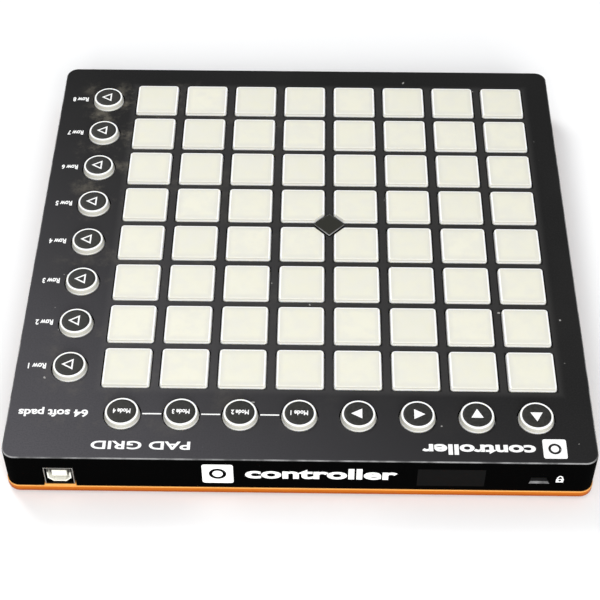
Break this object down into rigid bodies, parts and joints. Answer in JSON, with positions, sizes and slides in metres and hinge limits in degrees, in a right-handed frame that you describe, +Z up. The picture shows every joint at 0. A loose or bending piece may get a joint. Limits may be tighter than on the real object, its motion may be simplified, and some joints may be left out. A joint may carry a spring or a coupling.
{
  "type": "pad grid music controller",
  "caption": "Flat square desktop music controller: a grid of square pads, round buttons behind it and at its right, and a USB socket and security slot in the rear wall.",
  "frame": {"origin": "on the table under the middle of the footprint, at the underside of the feet", "axes": "+Z up; -Y towards the player; +Y the rear wall; +X the column of round buttons"},
  "size_m": [0.24, 0.24, 0.0264],
  "materials": {
    "cover_black": "soft-touch coating over black plastic",
    "base_orange": "satin orange plastic",
    "key_silicone": "milky silicone",
    "mat_silicone": "matt silicone",
    "foot_rubber": "matt rubber",
    "screw_steel": "plated",
    "board_laminate": "solder resist over laminate",
    "led_lens": "clear resin",
    "chip_black": "moulded resin",
    "socket_steel": "tinned",
    "socket_plastic": "moulded nylon",
    "contact_metal": "gold flash"
  },
  "bodies": {
    "housing": {"board_chips": "chip_black", "board_screws": "screw_steel", "bottom_cover": "base_orange", "case_screws": "screw_steel", "circuit_board": "board_laminate", "key_leds": "led_lens", "keypad_mat": "mat_silicone", "rubber_feet": "foot_rubber", "top_cover": "cover_black", "usb_contacts": "contact_metal", "usb_insulator": "socket_plastic", "usb_shell": "socket_steel"},
    "pads_row_1_columns_1_2": {"pads_row_1_columns_1_2": "key_silicone"},
    "pads_row_1_columns_3_4": {"pads_row_1_columns_3_4": "key_silicone"},
    "pads_row_1_columns_5_6": {"pads_row_1_columns_5_6": "key_silicone"},
    "pads_row_1_columns_7_8": {"pads_row_1_columns_7_8": "key_silicone"},
    "pads_row_2_columns_1_2": {"pads_row_2_columns_1_2": "key_silicone"},
    "pads_row_2_columns_3_4": {"pads_row_2_columns_3_4": "key_silicone"},
    "pads_row_2_columns_5_6": {"pads_row_2_columns_5_6": "key_silicone"},
    "pads_row_2_columns_7_8": {"pads_row_2_columns_7_8": "key_silicone"},
    "pads_row_3_columns_1_2": {"pads_row_3_columns_1_2": "key_silicone"},
    "pads_row_3_columns_3_4": {"pads_row_3_columns_3_4": "key_silicone"},
    "pads_row_3_columns_5_6": {"pads_row_3_columns_5_6": "key_silicone"},
    "pads_row_3_columns_7_8": {"pads_row_3_columns_7_8": "key_silicone"},
    "pads_row_4_columns_1_2": {"pads_row_4_columns_1_2": "key_silicone"},
    "pads_row_4_columns_3_4": {"pads_row_4_columns_3_4": "key_silicone"},
    "pads_row_4_columns_5_6": {"pads_row_4_columns_5_6": "key_silicone"},
    "pads_row_4_columns_7_8": {"pads_row_4_columns_7_8": "key_silicone"},
    "pads_row_5_columns_1_2": {"pads_row_5_columns_1_2": "key_silicone"},
    "pads_row_5_columns_3_4": {"pads_row_5_columns_3_4": "key_silicone"},
    "pads_row_5_columns_5_6": {"pads_row_5_columns_5_6": "key_silicone"},
    "pads_row_5_columns_7_8": {"pads_row_5_columns_7_8": "key_silicone"},
    "pads_row_6_columns_1_2": {"pads_row_6_columns_1_2": "key_silicone"},
    "pads_row_6_columns_3_4": {"pads_row_6_columns_3_4": "key_silicone"},
    "pads_row_6_columns_5_6": {"pads_row_6_columns_5_6": "key_silicone"},
    "pads_row_6_columns_7_8": {"pads_row_6_columns_7_8": "key_silicone"},
    "pads_row_7_columns_1_2": {"pads_row_7_columns_1_2": "key_silicone"},
    "pads_row_7_columns_3_4": {"pads_row_7_columns_3_4": "key_silicone"},
    "pads_row_7_columns_5_6": {"pads_row_7_columns_5_6": "key_silicone"},
    "pads_row_7_columns_7_8": {"pads_row_7_columns_7_8": "key_silicone"},
    "pads_row_8_columns_1_2": {"pads_row_8_columns_1_2": "key_silicone"},
    "pads_row_8_columns_3_4": {"pads_row_8_columns_3_4": "key_silicone"},
    "pads_row_8_columns_5_6": {"pads_row_8_columns_5_6": "key_silicone"},
    "pads_row_8_columns_7_8": {"pads_row_8_columns_7_8": "key_silicone"},
    "button_down": {"button_down": "key_silicone"},
    "button_left": {"button_left": "key_silicone"},
    "button_mode_1": {"button_mode_1": "key_silicone"},
    "button_mode_2": {"button_mode_2": "key_silicone"},
    "button_mode_3": {"button_mode_3": "key_silicone"},
    "button_mode_4": {"button_mode_4": "key_silicone"},
    "button_right": {"button_right": "key_silicone"},
    "button_row_1": {"button_row_1": "key_silicone"},
    "button_row_2": {"button_row_2": "key_silicone"},
    "button_row_3": {"button_row_3": "key_silicone"},
    "button_row_4": {"button_row_4": "key_silicone"},
    "button_row_5": {"button_row_5": "key_silicone"},
    "button_row_6": {"button_row_6": "key_silicone"},
    "button_row_7": {"button_row_7": "key_silicone"},
    "button_row_8": {"button_row_8": "key_silicone"},
    "button_up": {"button_up": "key_silicone"}
  },
  "joints": [
    {"name": "pads_row_1_columns_1_2_press", "type": "slide", "parent": "housing", "child": "pads_row_1_columns_1_2", "axis": [0, 0, -1], "range_m": [0, 0.0012], "stiffness_N_per_m": 400, "springref_m": -0.0005},
    {"name": "pads_row_1_columns_3_4_press", "type": "slide", "parent": "housing", "child": "pads_row_1_columns_3_4", "axis": [0, 0, -1], "range_m": [0, 0.0012], "stiffness_N_per_m": 400, "springref_m": -0.0005},
    {"name": "pads_row_1_columns_5_6_press", "type": "slide", "parent": "housing", "child": "pads_row_1_columns_5_6", "axis": [0, 0, -1], "range_m": [0, 0.0012], "stiffness_N_per_m": 400, "springref_m": -0.0005},
    {"name": "pads_row_1_columns_7_8_press", "type": "slide", "parent": "housing", "child": "pads_row_1_columns_7_8", "axis": [0, 0, -1], "range_m": [0, 0.0012], "stiffness_N_per_m": 400, "springref_m": -0.0005},
    {"name": "pads_row_2_columns_1_2_press", "type": "slide", "parent": "housing", "child": "pads_row_2_columns_1_2", "axis": [0, 0, -1], "range_m": [0, 0.0012], "stiffness_N_per_m": 400, "springref_m": -0.0005},
    {"name": "pads_row_2_columns_3_4_press", "type": "slide", "parent": "housing", "child": "pads_row_2_columns_3_4", "axis": [0, 0, -1], "range_m": [0, 0.0012], "stiffness_N_per_m": 400, "springref_m": -0.0005},
    {"name": "pads_row_2_columns_5_6_press", "type": "slide", "parent": "housing", "child": "pads_row_2_columns_5_6", "axis": [0, 0, -1], "range_m": [0, 0.0012], "stiffness_N_per_m": 400, "springref_m": -0.0005},
    {"name": "pads_row_2_columns_7_8_press", "type": "slide", "parent": "housing", "child": "pads_row_2_columns_7_8", "axis": [0, 0, -1], "range_m": [0, 0.0012], "stiffness_N_per_m": 400, "springref_m": -0.0005},
    {"name": "pads_row_3_columns_1_2_press", "type": "slide", "parent": "housing", "child": "pads_row_3_columns_1_2", "axis": [0, 0, -1], "range_m": [0, 0.0012], "stiffness_N_per_m": 400, "springref_m": -0.0005},
    {"name": "pads_row_3_columns_3_4_press", "type": "slide", "parent": "housing", "child": "pads_row_3_columns_3_4", "axis": [0, 0, -1], "range_m": [0, 0.0012], "stiffness_N_per_m": 400, "springref_m": -0.0005},
    {"name": "pads_row_3_columns_5_6_press", "type": "slide", "parent": "housing", "child": "pads_row_3_columns_5_6", "axis": [0, 0, -1], "range_m": [0, 0.0012], "stiffness_N_per_m": 400, "springref_m": -0.0005},
    {"name": "pads_row_3_columns_7_8_press", "type": "slide", "parent": "housing", "child": "pads_row_3_columns_7_8", "axis": [0, 0, -1], "range_m": [0, 0.0012], "stiffness_N_per_m": 400, "springref_m": -0.0005},
    {"name": "pads_row_4_columns_1_2_press", "type": "slide", "parent": "housing", "child": "pads_row_4_columns_1_2", "axis": [0, 0, -1], "range_m": [0, 0.0012], "stiffness_N_per_m": 400, "springref_m": -0.0005},
    {"name": "pads_row_4_columns_3_4_press", "type": "slide", "parent": "housing", "child": "pads_row_4_columns_3_4", "axis": [0, 0, -1], "range_m": [0, 0.0012], "stiffness_N_per_m": 400, "springref_m": -0.0005},
    {"name": "pads_row_4_columns_5_6_press", "type": "slide", "parent": "housing", "child": "pads_row_4_columns_5_6", "axis": [0, 0, -1], "range_m": [0, 0.0012], "stiffness_N_per_m": 400, "springref_m": -0.0005},
    {"name": "pads_row_4_columns_7_8_press", "type": "slide", "parent": "housing", "child": "pads_row_4_columns_7_8", "axis": [0, 0, -1], "range_m": [0, 0.0012], "stiffness_N_per_m": 400, "springref_m": -0.0005},
    {"name": "pads_row_5_columns_1_2_press", "type": "slide", "parent": "housing", "child": "pads_row_5_columns_1_2", "axis": [0, 0, -1], "range_m": [0, 0.0012], "stiffness_N_per_m": 400, "springref_m": -0.0005},
    {"name": "pads_row_5_columns_3_4_press", "type": "slide", "parent": "housing", "child": "pads_row_5_columns_3_4", "axis": [0, 0, -1], "range_m": [0, 0.0012], "stiffness_N_per_m": 400, "springref_m": -0.0005},
    {"name": "pads_row_5_columns_5_6_press", "type": "slide", "parent": "housing", "child": "pads_row_5_columns_5_6", "axis": [0, 0, -1], "range_m": [0, 0.0012], "stiffness_N_per_m": 400, "springref_m": -0.0005},
    {"name": "pads_row_5_columns_7_8_press", "type": "slide", "parent": "housing", "child": "pads_row_5_columns_7_8", "axis": [0, 0, -1], "range_m": [0, 0.0012], "stiffness_N_per_m": 400, "springref_m": -0.0005},
    {"name": "pads_row_6_columns_1_2_press", "type": "slide", "parent": "housing", "child": "pads_row_6_columns_1_2", "axis": [0, 0, -1], "range_m": [0, 0.0012], "stiffness_N_per_m": 400, "springref_m": -0.0005},
    {"name": "pads_row_6_columns_3_4_press", "type": "slide", "parent": "housing", "child": "pads_row_6_columns_3_4", "axis": [0, 0, -1], "range_m": [0, 0.0012], "stiffness_N_per_m": 400, "springref_m": -0.0005},
    {"name": "pads_row_6_columns_5_6_press", "type": "slide", "parent": "housing", "child": "pads_row_6_columns_5_6", "axis": [0, 0, -1], "range_m": [0, 0.0012], "stiffness_N_per_m": 400, "springref_m": -0.0005},
    {"name": "pads_row_6_columns_7_8_press", "type": "slide", "parent": "housing", "child": "pads_row_6_columns_7_8", "axis": [0, 0, -1], "range_m": [0, 0.0012], "stiffness_N_per_m": 400, "springref_m": -0.0005},
    {"name": "pads_row_7_columns_1_2_press", "type": "slide", "parent": "housing", "child": "pads_row_7_columns_1_2", "axis": [0, 0, -1], "range_m": [0, 0.0012], "stiffness_N_per_m": 400, "springref_m": -0.0005},
    {"name": "pads_row_7_columns_3_4_press", "type": "slide", "parent": "housing", "child": "pads_row_7_columns_3_4", "axis": [0, 0, -1], "range_m": [0, 0.0012], "stiffness_N_per_m": 400, "springref_m": -0.0005},
    {"name": "pads_row_7_columns_5_6_press", "type": "slide", "parent": "housing", "child": "pads_row_7_columns_5_6", "axis": [0, 0, -1], "range_m": [0, 0.0012], "stiffness_N_per_m": 400, "springref_m": -0.0005},
    {"name": "pads_row_7_columns_7_8_press", "type": "slide", "parent": "housing", "child": "pads_row_7_columns_7_8", "axis": [0, 0, -1], "range_m": [0, 0.0012], "stiffness_N_per_m": 400, "springref_m": -0.0005},
    {"name": "pads_row_8_columns_1_2_press", "type": "slide", "parent": "housing", "child": "pads_row_8_columns_1_2", "axis": [0, 0, -1], "range_m": [0, 0.0012], "stiffness_N_per_m": 400, "springref_m": -0.0005},
    {"name": "pads_row_8_columns_3_4_press", "type": "slide", "parent": "housing", "child": "pads_row_8_columns_3_4", "axis": [0, 0, -1], "range_m": [0, 0.0012], "stiffness_N_per_m": 400, "springref_m": -0.0005},
    {"name": "pads_row_8_columns_5_6_press", "type": "slide", "parent": "housing", "child": "pads_row_8_columns_5_6", "axis": [0, 0, -1], "range_m": [0, 0.0012], "stiffness_N_per_m": 400, "springref_m": -0.0005},
    {"name": "pads_row_8_columns_7_8_press", "type": "slide", "parent": "housing", "child": "pads_row_8_columns_7_8", "axis": [0, 0, -1], "range_m": [0, 0.0012], "stiffness_N_per_m": 400, "springref_m": -0.0005},
    {"name": "button_down_press", "type": "slide", "parent": "housing", "child": "button_down", "axis": [0, 0, -1], "range_m": [0, 0.0012], "stiffness_N_per_m": 300, "springref_m": -0.0005},
    {"name": "button_left_press", "type": "slide", "parent": "housing", "child": "button_left", "axis": [0, 0, -1], "range_m": [0, 0.0012], "stiffness_N_per_m": 300, "springref_m": -0.0005},
    {"name": "button_mode_1_press", "type": "slide", "parent": "housing", "child": "button_mode_1", "axis": [0, 0, -1], "range_m": [0, 0.0012], "stiffness_N_per_m": 300, "springref_m": -0.0005},
    {"name": "button_mode_2_press", "type": "slide", "parent": "housing", "child": "button_mode_2", "axis": [0, 0, -1], "range_m": [0, 0.0012], "stiffness_N_per_m": 300, "springref_m": -0.0005},
    {"name": "button_mode_3_press", "type": "slide", "parent": "housing", "child": "button_mode_3", "axis": [0, 0, -1], "range_m": [0, 0.0012], "stiffness_N_per_m": 300, "springref_m": -0.0005},
    {"name": "button_mode_4_press", "type": "slide", "parent": "housing", "child": "button_mode_4", "axis": [0, 0, -1], "range_m": [0, 0.0012], "stiffness_N_per_m": 300, "springref_m": -0.0005},
    {"name": "button_right_press", "type": "slide", "parent": "housing", "child": "button_right", "axis": [0, 0, -1], "range_m": [0, 0.0012], "stiffness_N_per_m": 300, "springref_m": -0.0005},
    {"name": "button_row_1_press", "type": "slide", "parent": "housing", "child": "button_row_1", "axis": [0, 0, -1], "range_m": [0, 0.0012], "stiffness_N_per_m": 300, "springref_m": -0.0005},
    {"name": "button_row_2_press", "type": "slide", "parent": "housing", "child": "button_row_2", "axis": [0, 0, -1], "range_m": [0, 0.0012], "stiffness_N_per_m": 300, "springref_m": -0.0005},
    {"name": "button_row_3_press", "type": "slide", "parent": "housing", "child": "button_row_3", "axis": [0, 0, -1], "range_m": [0, 0.0012], "stiffness_N_per_m": 300, "springref_m": -0.0005},
    {"name": "button_row_4_press", "type": "slide", "parent": "housing", "child": "button_row_4", "axis": [0, 0, -1], "range_m": [0, 0.0012], "stiffness_N_per_m": 300, "springref_m": -0.0005},
    {"name": "button_row_5_press", "type": "slide", "parent": "housing", "child": "button_row_5", "axis": [0, 0, -1], "range_m": [0, 0.0012], "stiffness_N_per_m": 300, "springref_m": -0.0005},
    {"name": "button_row_6_press", "type": "slide", "parent": "housing", "child": "button_row_6", "axis": [0, 0, -1], "range_m": [0, 0.0012], "stiffness_N_per_m": 300, "springref_m": -0.0005},
    {"name": "button_row_7_press", "type": "slide", "parent": "housing", "child": "button_row_7", "axis": [0, 0, -1], "range_m": [0, 0.0012], "stiffness_N_per_m": 300, "springref_m": -0.0005},
    {"name": "button_row_8_press", "type": "slide", "parent": "housing", "child": "button_row_8", "axis": [0, 0, -1], "range_m": [0, 0.0012], "stiffness_N_per_m": 300, "springref_m": -0.0005},
    {"name": "button_up_press", "type": "slide", "parent": "housing", "child": "button_up", "axis": [0, 0, -1], "range_m": [0, 0.0012], "stiffness_N_per_m": 300, "springref_m": -0.0005}
  ]
}
